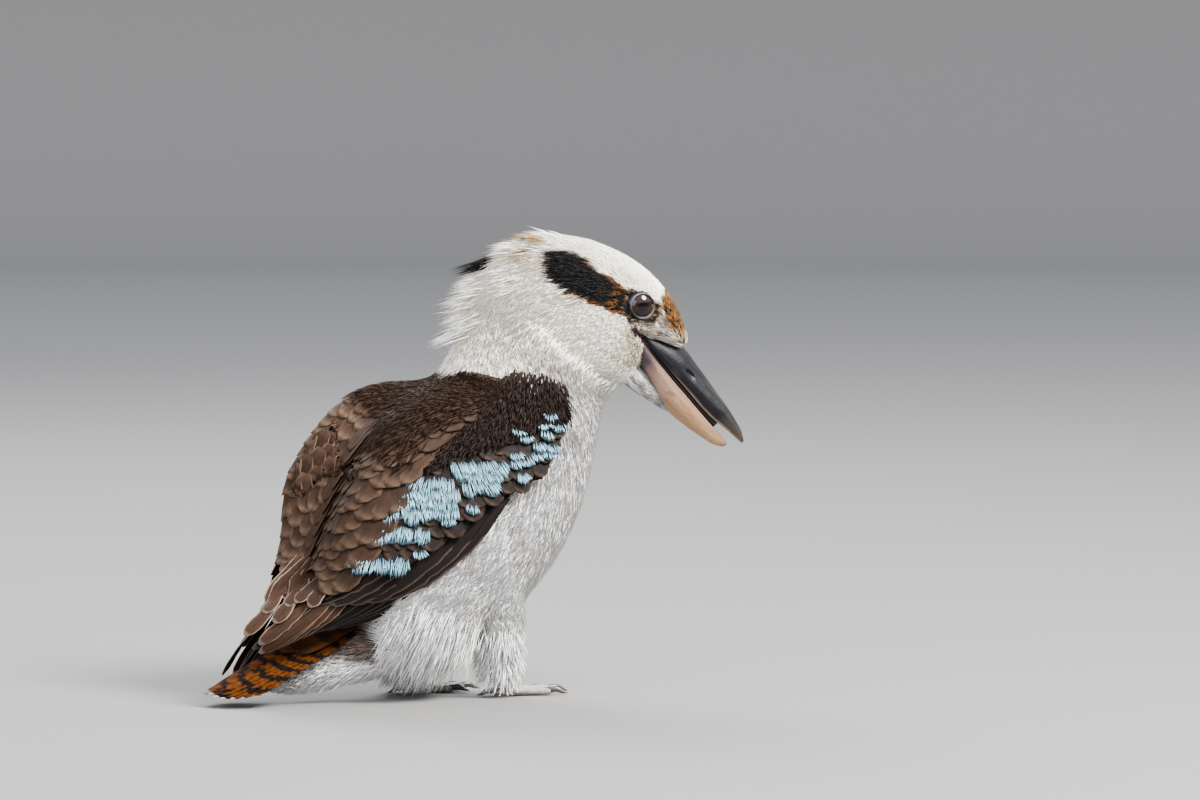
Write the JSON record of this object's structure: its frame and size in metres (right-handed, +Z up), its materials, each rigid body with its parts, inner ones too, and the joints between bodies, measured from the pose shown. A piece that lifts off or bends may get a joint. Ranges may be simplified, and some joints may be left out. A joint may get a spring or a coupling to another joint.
{
  "type": "kookaburra",
  "caption": "Standing laughing kookaburra, life size: pale body, masked face turned aside, heavy bill a little open, brown wings folded over a barred tail.",
  "frame": {"origin": "middle of the right foot's sole, on the floor", "axes": "+X is where the breast points, +Y is the bird's left, +Z is up"},
  "size_m": [0.2835, 0.1072, 0.2374],
  "materials": {
    "white_plumage": "matte feathers",
    "brown_plumage": "soft satin feathers",
    "rufous_plumage": "soft satin feathers",
    "dark_horn": "satin horn",
    "pale_horn": "satin horn",
    "eye": "wet gloss",
    "scaly_skin": "matte scales"
  },
  "bodies": {
    "root": {"torso": "white_plumage", "neck": "white_plumage", "head": "white_plumage", "bill_upper": "dark_horn", "bill_lower": "pale_horn", "eye_right": "eye", "eye_left": "eye", "wing_right": "brown_plumage", "flight_right": "brown_plumage", "scapulars_right": "brown_plumage", "wing_left": "brown_plumage", "flight_left": "brown_plumage", "scapulars_left": "brown_plumage", "tail": "rufous_plumage", "undertail": "white_plumage", "thigh_right": "white_plumage", "foot_right": "scaly_skin", "thigh_left": "white_plumage", "foot_left": "scaly_skin"}
  },
  "joints": []
}
